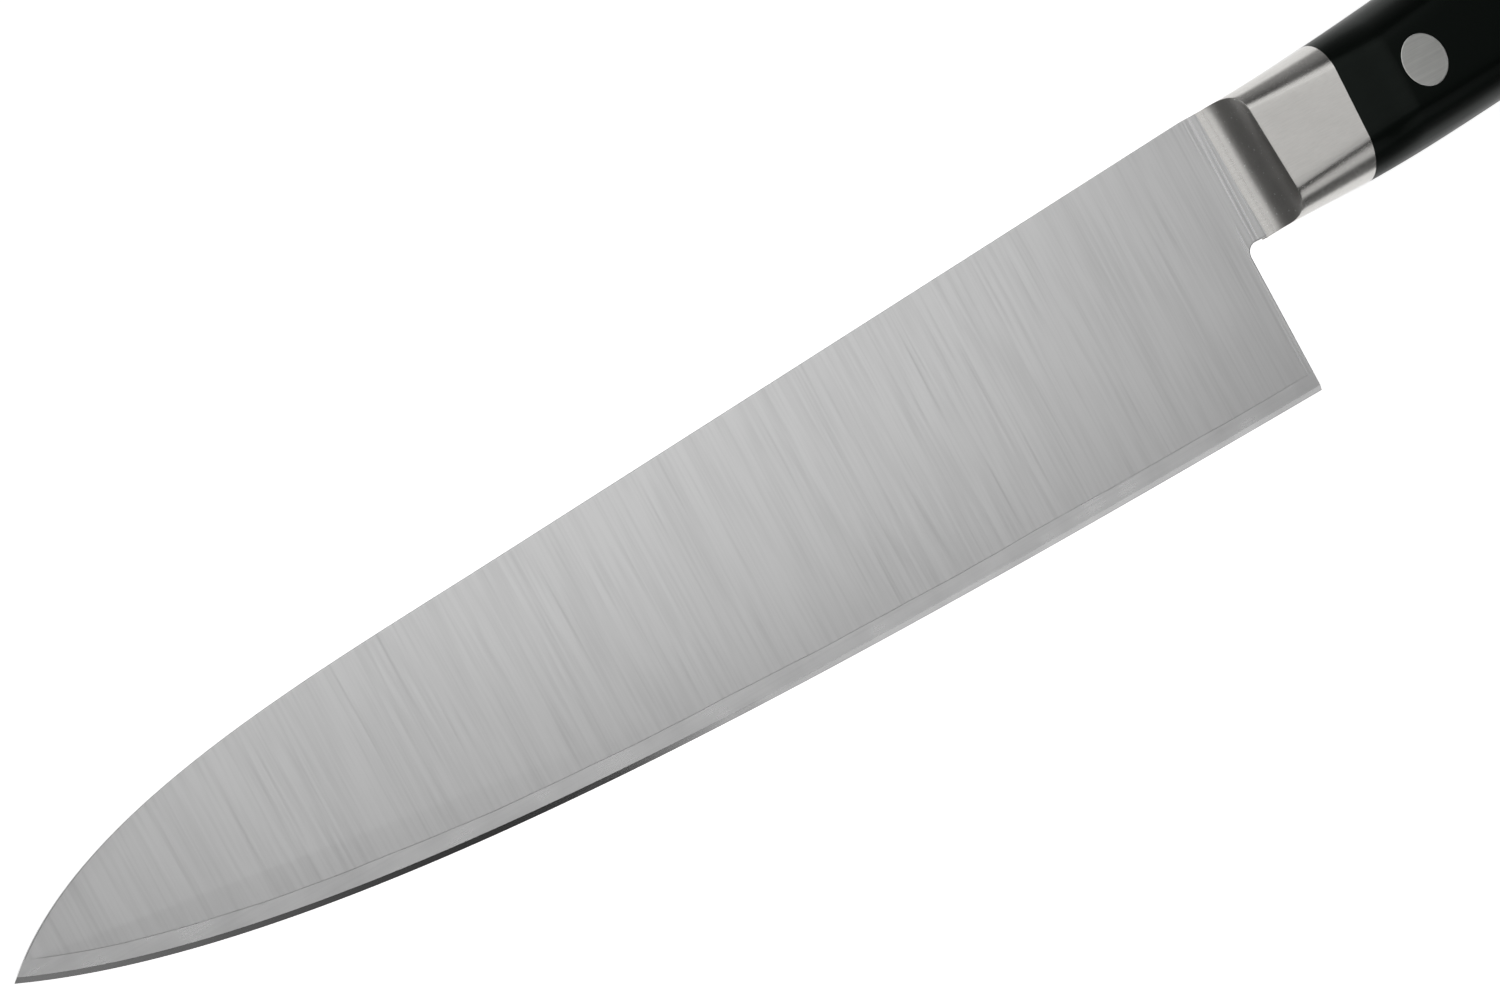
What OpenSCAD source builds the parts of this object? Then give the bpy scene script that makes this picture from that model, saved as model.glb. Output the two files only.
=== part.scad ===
// Chef knife: a three-ply blade with a full tang, two welded half bolsters, two handle scales
// and three two-part cutlery rivets.
// The knife lies on its left side. +X runs from the tip to the butt, +Y from the edge to the
// spine, and +Z up, out of the right side. The origin is the middle of the flat side of the
// handle that it rests on, halfway between the front and the middle rivet.

/* [Blade] */
// Length of the blade, from the heel to the tip
blade_length = 210; // [180:1:240]
// Height of the spine above the edge, at the heel
heel_height = 45; // [42:0.5:52]
// Height of the tip above the heel's end of the edge
tip_height = 18.4; // [15:0.1:21]
// Slope at which the straight part of the spine falls towards the tip, in degrees
spine_fall = 3.86; // [3:0.02:4.5]
// Thickness of the blank at the spine and through the tang
blank_thickness = 1.9; // [1.7:0.05:2.4]
// Thickness of the hard core sheet
core_thickness = 0.56; // [0.4:0.02:0.6]
// Height of bare core steel between the edge and the clad line
clad_line_height = 3; // [2.5:0.1:4]
// Radius of the corner between the heel and the neck
choil_radius = 1.8; // [0.8:0.1:2.4]

/* [Bolster] */
// Distance from the heel to the foot of the bolster's hollow front
neck_length = 5; // [4:0.1:7]
// Distance from the heel to the rear face of the bolster
bolster_end = 24.9; // [22:0.1:30]
// Radius of the hollow front
hollow_radius = 4.6; // [4.2:0.1:5]
// Thickness over both half bolsters at the ridge
ridge_thickness = 10; // [9:0.1:10.4]
// Thickness over both half bolsters at the rear face
bolster_rear_thickness = 13; // [12:0.1:15]
// Lean of the ridge, in degrees
ridge_lean = 2.9; // [0:0.1:5]
// Lean of the rear face, in degrees
rear_face_lean = 2.3; // [0:0.1:4]

/* [Handle] */
// Distance from the heel to the end of the butt
handle_length = 125; // [115:1:140]
// Thickness of the handle between its flat sides
handle_thickness = 16.5; // [15.5:0.1:19]
// Height of the neck and of the front of the bolster
neck_height = 21; // [20:0.1:22]
// Length over which the scales swell from the bolster to their flat sides
flare_length = 9.3; // [8:0.1:9.5]

/* [Rivets] */
// Diameter of the rivet heads
rivet_head_diameter = 8.4; // [7:0.1:9]
// Thickness of the rivet heads
rivet_head_thickness = 2.5; // [1.5:0.1:3]
// Outer diameter of the tube on the female half
rivet_tube_diameter = 6; // [5.5:0.1:6.4]
// Diameter of the solid shank on the male half
rivet_shank_diameter = 4.5; // [3.5:0.1:4.8]
// Distance from the heel to the front rivet
front_rivet_x = 39.1; // [38.8:0.1:40]
// Distance between one rivet and the next
rivet_spacing = 33; // [30:0.5:34]

/* [Hidden] */

// Edge and spine curves of the blade
edge_segments = 40;
spine_segments = 24;
edge_pull_heel = 0.5;       // of the blade's length, where the edge stops being straight
edge_pull_tip = 0.831;      // of the blade's length, for the curve's second handle
edge_pull_height = 0.127;   // of the tip's height, for the curve's second handle
spine_straight = 0.605;     // of the blade's length, where the spine starts to curve down
spine_pull = 0.754;         // of the blade's length, for the curve's first handle
spine_pull_tip = 0.926;     // of the blade's length, for the curve's second handle
spine_tip_rise = 0.98;      // slope at which the spine meets the tip

// Flat-ground faces: each is one plane, thinner towards the edge and a little towards the tip
ground_half = 0.33;                   // half thickness at the clad line, at the heel
distal_angle = 0.023;                 // taper towards the tip, in degrees
wedge_angle = atan((blank_thickness / 2 - ground_half) / (heel_height - clad_line_height));
cutting_bevel_height = 0.8;
sheet_overlap = 0.1;                  // the core sheet runs this far into the edge strip
tip_overrun = 2;                      // the edge strip is drawn this far past the tip, then trimmed
tang_start = 12;                      // behind this the blank keeps its full thickness
choil_steps = 8;

// Bolster and handle sections
flat_strip = 1.2;           // half width of the flat strip along the top and the bottom
section_inner = 0.2;        // sections start here, inside the blank
rounding_steps = 7;
bolster_loft_start = 2;
lip = 0.05;                 // height of the hollow's foot above the blade
ridge_x = neck_length + hollow_radius;
bolster_swell = (bolster_rear_thickness - ridge_thickness) / 2 / (bolster_end - ridge_x);
flare_end = bolster_end + flare_length;
half_handle = handle_thickness / 2;
half_blank = blank_thickness / 2;
butt_round = 9;             // length over which the sides round off into the butt
butt_half = 4;              // half thickness at the very end
butt_face_inset = 0.3;      // the butt ends in a small flat this far inside the curve

// Heights of the rounded corners along the top and the bottom, by distance from the heel
top_rounding = [[ridge_x, 3.8], [bolster_end, 5.4], [flare_end, 6.4]];
bottom_rounding = [[ridge_x, 4.4], [bolster_end, 6], [flare_end, 6.4]];

// Handle outline. Lengths behind the bolster stretch with the handle.
function grip_x(mm) = bolster_end + mm * (handle_length - bolster_end) / 100;
neck_top = [0, heel_height];
front_top = [grip_x(21), heel_height + 3.3];
rear_top = [grip_x(87), heel_height + 2.6];
butt_point = [handle_length, heel_height - 9];
belly_point = [grip_x(89), heel_height - neck_height - 1.4];
waist_point = [grip_x(53), heel_height - neck_height + 1.6];
rear_bottom = [bolster_end, heel_height - neck_height - 0.4];
choil_point = [0, heel_height - neck_height];
handle_curve_steps = 12;

// Rivets and their holes
tang_hole_diameter = rivet_tube_diameter + 0.4;
scale_hole_diameter = rivet_tube_diameter + 0.1;
head_underside = half_handle - rivet_head_thickness;
tube_end = -(head_underside - 1.2);
shank_end = head_underside - 0.7;
rest_x = front_rivet_x + rivet_spacing / 2;
$fn = 48;
huge = 400;                 // larger than the knife, for cutting planes

// ---- Curves ----
function bezier(a, b, c, d, t) =
    pow(1 - t, 3) * a + 3 * pow(1 - t, 2) * t * b + 3 * (1 - t) * t * t * c + pow(t, 3) * d;
function bezier_points(a, b, c, d, steps) = [for (i = [0 : steps]) bezier(a, b, c, d, i / steps)];

tip = [-blade_length, tip_height];
function spine_line(x) = heel_height + x * tan(spine_fall);
edge_curve = bezier_points([0, 0], [-edge_pull_heel * blade_length, 0],
                           [-edge_pull_tip * blade_length, edge_pull_height * tip_height],
                           tip, edge_segments);
spine_curve = bezier_points([-spine_straight * blade_length, spine_line(-spine_straight * blade_length)],
                            [-spine_pull * blade_length, spine_line(-spine_pull * blade_length)],
                            [-spine_pull_tip * blade_length,
                             tip_height + (1 - spine_pull_tip) * blade_length * spine_tip_rise],
                            tip, spine_segments);

// The handle's top line, from the neck to the butt, and its bottom line, from the bolster to the butt
top_curve = concat(
    bezier_points(neck_top, neck_top + [14, 0.2], front_top - [16, 1.7], front_top, handle_curve_steps),
    bezier_points(front_top, front_top + [14, 1.5], rear_top + [-20, 3.9], rear_top, handle_curve_steps),
    bezier_points(rear_top, rear_top + [8, -1.56], butt_point + [0, 6], butt_point, handle_curve_steps));
bottom_curve = concat(
    [choil_point],
    bezier_points(rear_bottom, rear_bottom + [19, 0], waist_point - [20, 0], waist_point,
                  handle_curve_steps),
    bezier_points(waist_point, waist_point + [18, 0], belly_point - [10, 0], belly_point,
                  handle_curve_steps),
    bezier_points(belly_point, belly_point + [8, 0], butt_point - [0, 6], butt_point,
                  handle_curve_steps));
function top_y(x) = lookup(x, top_curve);
function bottom_y(x) = lookup(x, bottom_curve);
function middle_y(x) = (top_y(x) + bottom_y(x)) / 2;

// Stations along the handle, closer together where the outline turns quickly
butt_face_x = handle_length - butt_face_inset;
bolster_stations = [for (i = [0 : 8]) bolster_loft_start + i * (bolster_end + 3 - bolster_loft_start) / 8];
scale_stations = concat(
    [for (i = [0 : 7]) bolster_end - 3 + i * (flare_length + 3) / 7],
    [for (i = [1 : 9]) flare_end + i * (handle_length - butt_round - flare_end) / 9],
    [for (i = [1 : 8]) handle_length - butt_round + (butt_round - butt_face_inset) * sin(90 * i / 8)]);
tang_stations = concat([for (x = bolster_stations) if (x > choil_radius && x < scale_stations[0]) x],
                       scale_stations);

// ---- Blank: the outline and the thickness of blade and tang ----
// The concave corner between heel and neck
choil_arc = [for (i = [0 : choil_steps])
                 let (angle = 90 + 90 * i / choil_steps)
                 choil_point + choil_radius * [1 + cos(angle), sin(angle) - 1]];

module blank_outline() {
    polygon(concat(edge_curve,
                   [for (i = [spine_segments - 1 : -1 : 0]) spine_curve[i]],
                   [neck_top],
                   [for (x = tang_stations) [x, top_y(x)]],
                   [for (i = [len(tang_stations) - 1 : -1 : 0]) [tang_stations[i], bottom_y(tang_stations[i])]],
                   choil_arc));
}

// Everything above a line that runs parallel to the edge
module above_edge(height) {
    translate([0, height])
        polygon(concat([[huge, 0]], edge_curve, [tip - [20, 0], tip + [-20, huge], [huge, huge]]));
}

// Everything below the flat-ground plane of the right side
module ground_half_space() {
    translate([0, clad_line_height, ground_half])
        rotate([wedge_angle, 0, 0])
            rotate([0, -distal_angle, 0])
                translate([-huge, -huge, -huge])
                    cube([2 * huge, 2 * huge, huge]);
}

// Height of that plane over a point of the blank
function ground_z(x, y) =
    ground_half + (y - clad_line_height) * tan(wedge_angle) + x * tan(distal_angle) / cos(wedge_angle);

module behind(x) {
    translate([x, -huge, -huge])
        cube([2 * huge, 2 * huge, 2 * huge]);
}

// All space on the inner side of the blank's right face
module blank_half_space() {
    intersection() {
        translate([-huge, -huge, half_blank - huge])
            cube([2 * huge, 2 * huge, huge]);
        union() {
            ground_half_space();
            behind(tang_start);
        }
    }
}

// ---- Lofts ----
// A closed body through rings that all have the same number of points
module loft(rings) {
    sides = len(rings[0]);
    last = len(rings) - 1;
    points = [for (ring = rings) each ring];
    skin = [for (r = [0 : last - 1], s = [0 : sides - 1])
                let (a = r * sides + s,
                     b = r * sides + (s + 1) % sides)
                each [[a, b, b + sides], [a, b + sides, a + sides]]];
    front_cap = [[for (s = [sides - 1 : -1 : 0]) s]];
    rear_cap = [[for (s = [0 : sides - 1]) last * sides + s]];
    polyhedron(points = points, faces = concat(skin, front_cap, rear_cap), convexity = 4);
}

// Half thickness of bolster and scales at a distance from the heel
function flare(t) = t * t * (3 - 2 * t);
function side_z(x) =
    x <= bolster_end
        ? ridge_thickness / 2 + (x - ridge_x) * bolster_swell
        : x <= flare_end
            ? let (t = (x - bolster_end) / flare_length)
              bolster_rear_thickness / 2 * (1 - flare(t)) + half_handle * flare(t)
              + bolster_swell * flare_length * t * (1 - t) * (1 - t)
            : x <= handle_length - butt_round
                ? half_handle
                : let (t = (x - handle_length + butt_round) / butt_round)
                  butt_half + (half_handle - butt_half) * sqrt(max(0, 1 - t * t));

// Right half of the cross-section: rounded corners and a flat side
function half_section(x) =
    let (z = side_z(x),
         top = top_y(x),
         bottom = bottom_y(x),
         reach = (top - bottom) * 0.46,
         top_drop = min(reach, lookup(x, top_rounding)),
         bottom_rise = min(reach, lookup(x, bottom_rounding)))
    concat([[x, top, section_inner]],
           [for (k = [0 : rounding_steps])
                let (angle = 90 * k / rounding_steps)
                [x, top - top_drop * (1 - cos(angle)), flat_strip + (z - flat_strip) * sin(angle)]],
           [for (k = [rounding_steps : -1 : 0])
                let (angle = 90 * k / rounding_steps)
                [x, bottom + bottom_rise * (1 - cos(angle)), flat_strip + (z - flat_strip) * sin(angle)]],
           [[x, bottom, section_inner]]);

// Half space behind the joint between bolster and scales
module behind_joint() {
    translate([bolster_end, middle_y(bolster_end), 0])
        rotate([0, 0, -rear_face_lean])
            translate([0, -huge, -huge])
                cube([2 * huge, 2 * huge, 2 * huge]);
}

// The hollow front: a cylinder that lies tangent to the blade's face
module hollow_front() {
    foot_y = middle_y(neck_length);
    translate([neck_length, foot_y, ground_z(neck_length, foot_y)])
        rotate([wedge_angle, 0, 0])
            rotate([0, 0, ridge_lean])
                union() {
                    translate([0, 0, hollow_radius + lip])
                        rotate([90, 0, 0])
                            cylinder(r = hollow_radius, h = 2 * heel_height, center = true, $fn = 96);
                    translate([-huge, -heel_height, -1])
                        cube([huge, 2 * heel_height, 2 * half_handle]);
                }
}

// ---- Pieces, on the right side where a piece has two ----
module right_cladding() {
    difference() {
        intersection() {
            translate([0, 0, core_thickness / 2])
                linear_extrude(height = blank_thickness)
                    intersection() {
                        blank_outline();
                        above_edge(clad_line_height);
                    }
            blank_half_space();
        }
        rivet_holes(tang_hole_diameter);
    }
}

module right_bolster() {
    difference() {
        loft([for (x = bolster_stations) half_section(x)]);
        blank_half_space();
        behind_joint();
        hollow_front();
    }
}

module right_scale() {
    difference() {
        intersection() {
            loft([for (x = scale_stations) half_section(x)]);
            behind_joint();
        }
        blank_half_space();
        rivet_holes(scale_hole_diameter);
        rivet_holes(rivet_head_diameter, head_underside);
    }
}

// Cylinders on the three rivet axes, from one height up
module rivet_holes(diameter, from = -handle_thickness) {
    for (i = [0 : 2])
        translate([rivet_x(i), middle_y(rivet_x(i)), from])
            cylinder(d = diameter, h = 2 * handle_thickness);
}

// The strip of bare core steel along the edge, ground in one plane with the cladding down to the
// cutting bevels. It runs a little past the tip, where the spine trims it.
module edge_strip() {
    difference() {
        loft([for (p = through_tip(edge_curve))
                let (bevel_y = p[1] + cutting_bevel_height,
                     line_y = p[1] + clad_line_height,
                     bevel_z = ground_z(p[0], bevel_y),
                     line_z = ground_z(p[0], line_y))
                [[p[0], p[1], 0],
                 [p[0], bevel_y, -bevel_z],
                 [p[0], line_y, -line_z],
                 [p[0], line_y, line_z],
                 [p[0], bevel_y, bevel_z]]]);
        linear_extrude(height = 2 * blank_thickness, center = true)
            polygon(concat(through_tip(spine_curve),
                           [tip + [-huge, 0], tip + [-huge, huge], [0, huge]]));
    }
}

// A curve that ends at the tip, carried on straight through it for a short way
function through_tip(curve) =
    let (last = len(curve) - 2,
         step = tip - curve[last])
    concat([for (i = [0 : last]) curve[i]],
           [tip + step * tip_overrun / norm(step)]);

function rivet_x(index) = front_rivet_x + index * rivet_spacing;

// Moves a piece from the blade's own axes to the resting place
module placed() {
    translate([-rest_x, -middle_y(rest_x), half_handle])
        children();
}

module on_left() {
    mirror([0, 0, 1])
        children();
}

// Female half: head flush with the right side, and a tube through scale and tang
module rivet_female(index) {
    x = rivet_x(index);
    placed()
        translate([x, middle_y(x), 0])
            color("gray")
                difference() {
                    union() {
                        translate([0, 0, head_underside])
                            cylinder(d = rivet_head_diameter, h = rivet_head_thickness);
                        translate([0, 0, tube_end])
                            cylinder(d = rivet_tube_diameter, h = head_underside - tube_end);
                    }
                    translate([0, 0, tube_end - 1])
                        cylinder(d = rivet_shank_diameter, h = head_underside - tube_end + 1);
                }
}

// Male half: head flush with the left side, and a solid shank driven into the tube
module rivet_male(index) {
    x = rivet_x(index);
    placed()
        translate([x, middle_y(x), 0])
            color("gray")
                union() {
                    translate([0, 0, -half_handle])
                        cylinder(d = rivet_head_diameter, h = rivet_head_thickness);
                    translate([0, 0, -head_underside])
                        cylinder(d = rivet_shank_diameter, h = head_underside + shank_end);
                }
}

// ---- Nodes ----
module blade_core() {
    color("darkgray")
        placed()
            difference() {
                union() {
                    linear_extrude(height = core_thickness, center = true)
                        intersection() {
                            blank_outline();
                            above_edge(clad_line_height - sheet_overlap);
                        }
                    edge_strip();
                }
                rivet_holes(tang_hole_diameter);
            }
}

module cladding_left() {
    color("silver")
        placed()
            on_left()
                right_cladding();
}

module cladding_right() {
    color("silver")
        placed()
            right_cladding();
}

module bolster_left() {
    color("lightgray")
        placed()
            on_left()
                right_bolster();
}

module bolster_right() {
    color("lightgray")
        placed()
            right_bolster();
}

module scale_left() {
    color([0.05, 0.06, 0.06])
        placed()
            on_left()
                right_scale();
}

module scale_right() {
    color([0.05, 0.06, 0.06])
        placed()
            right_scale();
}

module front_rivet_female() {
    rivet_female(0);
}

module front_rivet_male() {
    rivet_male(0);
}

module middle_rivet_female() {
    rivet_female(1);
}

module middle_rivet_male() {
    rivet_male(1);
}

module rear_rivet_female() {
    rivet_female(2);
}

module rear_rivet_male() {
    rivet_male(2);
}

blade_core();
cladding_left();
cladding_right();
bolster_left();
bolster_right();
scale_left();
scale_right();
front_rivet_female();
front_rivet_male();
middle_rivet_female();
middle_rivet_male();
rear_rivet_female();
rear_rivet_male();
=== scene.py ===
"""Chef knife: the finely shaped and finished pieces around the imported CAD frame.

The shapes are drawn in the knife's own axes, in millimetres: x is 0 at the heel and grows towards
the butt, y is 0 at the heel's end of the edge and grows towards the spine, and z is 0 on the
blade's middle plane. place() takes them to the row frame, in metres.
"""
import math

import bpy
from mathutils import Matrix, Vector
from mathutils.geometry import delaunay_2d_cdt


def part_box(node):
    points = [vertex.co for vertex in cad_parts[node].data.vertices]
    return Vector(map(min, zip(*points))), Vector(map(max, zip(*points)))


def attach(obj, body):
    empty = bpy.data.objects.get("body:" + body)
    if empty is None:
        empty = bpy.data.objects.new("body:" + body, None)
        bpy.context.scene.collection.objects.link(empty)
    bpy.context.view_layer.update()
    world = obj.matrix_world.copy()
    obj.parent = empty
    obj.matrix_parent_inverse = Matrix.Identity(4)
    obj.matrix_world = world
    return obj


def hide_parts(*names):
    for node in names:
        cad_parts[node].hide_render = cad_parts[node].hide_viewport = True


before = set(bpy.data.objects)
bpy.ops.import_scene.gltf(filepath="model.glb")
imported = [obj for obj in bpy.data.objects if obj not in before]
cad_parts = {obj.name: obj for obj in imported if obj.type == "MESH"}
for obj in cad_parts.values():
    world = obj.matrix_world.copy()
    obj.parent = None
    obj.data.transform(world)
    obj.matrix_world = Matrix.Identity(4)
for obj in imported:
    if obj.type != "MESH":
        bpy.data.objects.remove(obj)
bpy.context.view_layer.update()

# ---------------------------------------------------------------- sizes, in millimetres
BLADE_LENGTH = 210
HEEL_HEIGHT = 45
TIP_HEIGHT = 18.4
SPINE_FALL = math.radians(3.86)
BLANK_HALF = 0.95
CORE_HALF = 0.28
CLAD_LINE_HEIGHT = 3
CHOIL_RADIUS = 1.8
GROUND_HALF = 0.33
DISTAL_ANGLE = math.radians(0.023)
WEDGE_ANGLE = math.atan((BLANK_HALF - GROUND_HALF) / (HEEL_HEIGHT - CLAD_LINE_HEIGHT))
BEVEL_HEIGHT = 0.8
STRIP_INSET = 0.0005        # of the bare core below the cladding's face
TANG_START = 12

NECK_LENGTH = 5
BOLSTER_END = 24.9
HOLLOW_RADIUS = 4.6
HOLLOW_LIP = 0.05
RIDGE_X = NECK_LENGTH + HOLLOW_RADIUS
RIDGE_HALF = 5
BOLSTER_REAR_HALF = 6.5
BOLSTER_SWELL = (BOLSTER_REAR_HALF - RIDGE_HALF) / (BOLSTER_END - RIDGE_X)
RIDGE_LEAN = math.radians(2.9)
REAR_FACE_LEAN = math.radians(2.3)

HANDLE_LENGTH = 125
HALF_HANDLE = 8.25
NECK_HEIGHT = 21
FLARE_LENGTH = 9.3
FLARE_END = BOLSTER_END + FLARE_LENGTH
FLAT_STRIP = 1.2
BUTT_ROUND = 9
BUTT_HALF = 4
BUTT_FACE_X = HANDLE_LENGTH - 0.3
BUTT_EASE = 1.3
SKIN = 0.02               # the fine outline lies this far inside the CAD's coarser one

RIVET_XS = (39.1, 72.1, 105.1)
RIVET_NAMES = ("front", "middle", "rear")
RIVET_HEAD_R = 4.2
RIVET_HEAD_THICKNESS = 2.5
RIVET_TUBE_R = 3
RIVET_SHANK_R = 2.25
SCALE_HOLE_R = 3.05
TANG_HOLE_R = 3.2
HEAD_UNDERSIDE = HALF_HANDLE - RIVET_HEAD_THICKNESS
TUBE_END = -(HEAD_UNDERSIDE - 1.2)
SHANK_END = HEAD_UNDERSIDE - 0.7

MM = 0.001
core_low, core_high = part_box("blade_core")
knife_origin = Vector((core_low.x + BLADE_LENGTH * MM, core_low.y, (core_low.z + core_high.z) / 2))


def place(point):
    """A point in the knife's axes, in millimetres, to the row frame in metres."""
    return knife_origin + Vector(point) * MM


# ---------------------------------------------------------------- curves
def bezier(a, b, c, d, t):
    """The point at t, from 0 to 1, on a cubic curve with ends a and d."""
    s = 1 - t
    return s * s * s * a + 3 * s * s * t * b + 3 * s * t * t * c + t * t * t * d


def solve(function, low, high, steps=48):
    """The place between low and high where function turns from negative to positive."""
    for _ in range(steps):
        middle = (low + high) / 2
        if function(middle) < 0:
            low = middle
        else:
            high = middle
    return (low + high) / 2


class Curve:
    """A chain of Bezier segments along which x only grows or only falls."""

    def __init__(self, *segments):
        self.segments = [tuple(Vector(p) for p in s) for s in segments]

    def y(self, x):
        for segment in self.segments:
            sign = 1 if segment[3].x > segment[0].x else -1
            if sign * x <= sign * segment[3].x:
                return bezier(*segment, solve(lambda t: sign * (bezier(*segment, t).x - x), 0, 1)).y
        return self.segments[-1][3].y


def grip_x(share):
    """A place along the handle, by its share in percent of the length behind the bolster."""
    return BOLSTER_END + share * (HANDLE_LENGTH - BOLSTER_END) / 100


def spine_line(x):
    return HEEL_HEIGHT + x * math.tan(SPINE_FALL)


def chain(*knots):
    """Bezier segments from (point, handle before, handle after) knots."""
    return [(a[0], Vector(a[0]) + Vector(a[2]), Vector(b[0]) + Vector(b[1]), b[0])
            for a, b in zip(knots, knots[1:])]


TIP = Vector((-BLADE_LENGTH, TIP_HEIGHT))
# the edge is straight at the heel and curves up to the tip
EDGE_PULL_HEEL_X = -0.5 * BLADE_LENGTH
EDGE_PULL_TIP_X = -0.831 * BLADE_LENGTH
EDGE_PULL_TIP_Y = 0.127 * TIP_HEIGHT
edge_curve = Curve(((0, 0), (EDGE_PULL_HEEL_X, 0), (EDGE_PULL_TIP_X, EDGE_PULL_TIP_Y), TIP))
# the spine is straight to its bend and then falls to the tip
SPINE_BEND_X = -0.605 * BLADE_LENGTH
SPINE_PULL_BEND_X = -0.754 * BLADE_LENGTH
SPINE_PULL_TIP_X = -0.926 * BLADE_LENGTH
SPINE_TIP_RISE = 0.98     # slope at which the spine meets the tip
spine_curve = Curve(((SPINE_BEND_X, spine_line(SPINE_BEND_X)),
                     (SPINE_PULL_BEND_X, spine_line(SPINE_PULL_BEND_X)),
                     (SPINE_PULL_TIP_X, TIP_HEIGHT + (SPINE_PULL_TIP_X + BLADE_LENGTH) * SPINE_TIP_RISE),
                     TIP))
top_curve = Curve(*chain(
    ((0, HEEL_HEIGHT), (0, 0), (14, 0.2)),
    ((grip_x(21), HEEL_HEIGHT + 3.3), (-16, -1.7), (14, 1.5)),
    ((grip_x(87), HEEL_HEIGHT + 2.6), (-20, 3.9), (8, -1.56)),
    ((HANDLE_LENGTH, HEEL_HEIGHT - 9), (0, 6), (0, 0))))
belly_bottom = HEEL_HEIGHT - NECK_HEIGHT
bottom_curve = Curve(*chain(
    ((0, belly_bottom), (0, 0), (8, -0.13)),
    ((BOLSTER_END, belly_bottom - 0.4), (-8, 0.13), (19, 0)),
    ((grip_x(53), belly_bottom + 1.6), (-20, 0), (18, 0)),
    ((grip_x(89), belly_bottom - 1.4), (-10, 0), (8, 0)),
    ((HANDLE_LENGTH, HEEL_HEIGHT - 9), (0, -6), (0, 0))))


def edge_y(x):
    return edge_curve.y(x)


def spine_y(x):
    return spine_line(x) if x > SPINE_BEND_X else spine_curve.y(x)


def butt_inset(x):
    """How far the outline is drawn in by the eased corner round the butt's flat end."""
    into = x - (BUTT_FACE_X - BUTT_EASE)
    return 0 if into <= 0 else BUTT_EASE - math.sqrt(max(0, BUTT_EASE ** 2 - into ** 2))


def top_y(x):
    return top_curve.y(x) - SKIN - butt_inset(x)


def bottom_y(x):
    return bottom_curve.y(x) + SKIN + butt_inset(x)


def middle_y(x):
    return (top_curve.y(x) + bottom_curve.y(x)) / 2


def ground_z(x, y):
    """Height of the right side's flat-ground plane above the middle plane."""
    return (GROUND_HALF + (y - CLAD_LINE_HEIGHT) * math.tan(WEDGE_ANGLE)
            + x * math.tan(DISTAL_ANGLE) / math.cos(WEDGE_ANGLE))


def blank_z(x, y):
    return BLANK_HALF if x >= TANG_START else min(BLANK_HALF, ground_z(x, y))


WAVE_END = -206           # the clad line is even from here to the tip
WAVE_FADE = 12            # length over which the wandering sets in at either end


def clad_wave(x):
    """The clad line of a forged laminate wanders a little up and down."""
    fade = 0
    if WAVE_END < x < 0:
        fade = min(1, -x / WAVE_FADE) * min(1, (x - WAVE_END) / WAVE_FADE)
    waves = 0.06 * math.sin(x / 9.7) + 0.04 * math.sin(x / 4.3 + 1) + 0.02 * math.sin(x / 1.7 + 2)
    return fade * waves


# ---------------------------------------------------------------- mesh helpers
def uv_along(point):
    """Texture coordinates whose U runs along the knife."""
    return (point[0] / 100, point[1] / 100)


def uv_across(point):
    """Texture coordinates whose U runs across the knife."""
    return (point[1] / 100, point[0] / 100)


def build(name, points, faces, material, sharp=28, uv=uv_along):
    """A piece in the row frame from points in millimetres.

    Its shading is smooth except at edges over `sharp` degrees. The brush lines of its material
    run square to U.
    """
    mesh = bpy.data.meshes.new(name)
    mesh.from_pydata([place(p) for p in points], [], faces)
    mesh.update()
    mesh.shade_smooth()
    mesh.set_sharp_from_angle(angle=math.radians(sharp))
    layer = mesh.uv_layers.new(name="UVMap")
    for loop in mesh.loops:
        layer.data[loop.index].uv = uv(points[loop.vertex_index])
    mesh.materials.append(material)
    piece = bpy.data.objects.new(name, mesh)
    bpy.context.scene.collection.objects.link(piece)
    return piece


def mirror(points, faces):
    """The same body on the knife's left side."""
    return [(p[0], p[1], -p[2]) for p in points], [tuple(reversed(f)) for f in faces]


def area(loop):
    """The area of a flat loop, which is positive when it runs counter-clockwise."""
    return sum(a[0] * b[1] - b[0] * a[1] for a, b in zip(loop, loop[1:] + loop[:1])) / 2


def circle(centre, radius, steps=56):
    """Points round a circle, counter-clockwise."""
    return [(centre[0] + radius * math.cos(2 * math.pi * i / steps),
             centre[1] + radius * math.sin(2 * math.pi * i / steps)) for i in range(steps)]


def fill(loops):
    """Triangles, as indices into the joined loops, that fill the first loop outside the others."""
    flat, borders, owner = [], [], []
    for number, loop in enumerate(loops):
        borders.append(range(len(flat), len(flat) + len(loop)))
        flat += [Vector(p[:2]) for p in loop]
        owner += [number] * len(loop)
    edges = [(b[i - 1], b[i]) for b in borders for i in range(len(b))]
    outer = list(borders[0]) if area(loops[0]) > 0 else list(reversed(borders[0]))
    _, _, faces, origin, _, _ = delaunay_2d_cdt(flat, edges, [outer], 1, 1e-7)
    back = [o[0] for o in origin]
    joined = [tuple(back[v] for v in f) for f in faces]
    # a triangle with all its corners on one hole's rim lies in that hole
    return [f for f in joined if owner[f[0]] == 0 or len({owner[v] for v in f}) > 1]


class Body:
    """Points and faces of a piece while it is put together."""

    def __init__(self):
        self.points, self.faces = [], []

    def add(self, points):
        start = len(self.points)
        self.points += [tuple(p) for p in points]
        return list(range(start, start + len(points)))

    def band(self, a, b, closed=True):
        """Quads between two rows of points."""
        count = len(a) if closed else len(a) - 1
        for i in range(count):
            j = (i + 1) % len(a)
            self.faces.append((a[i], a[j], b[j], b[i]))

    def cap(self, rows, loops, up):
        """Fills the flat area between index rows whose outlines are loops."""
        index = [i for row in rows for i in row]
        for f in fill(loops):
            self.faces.append(tuple(index[v] for v in (f if up else reversed(f))))


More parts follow.
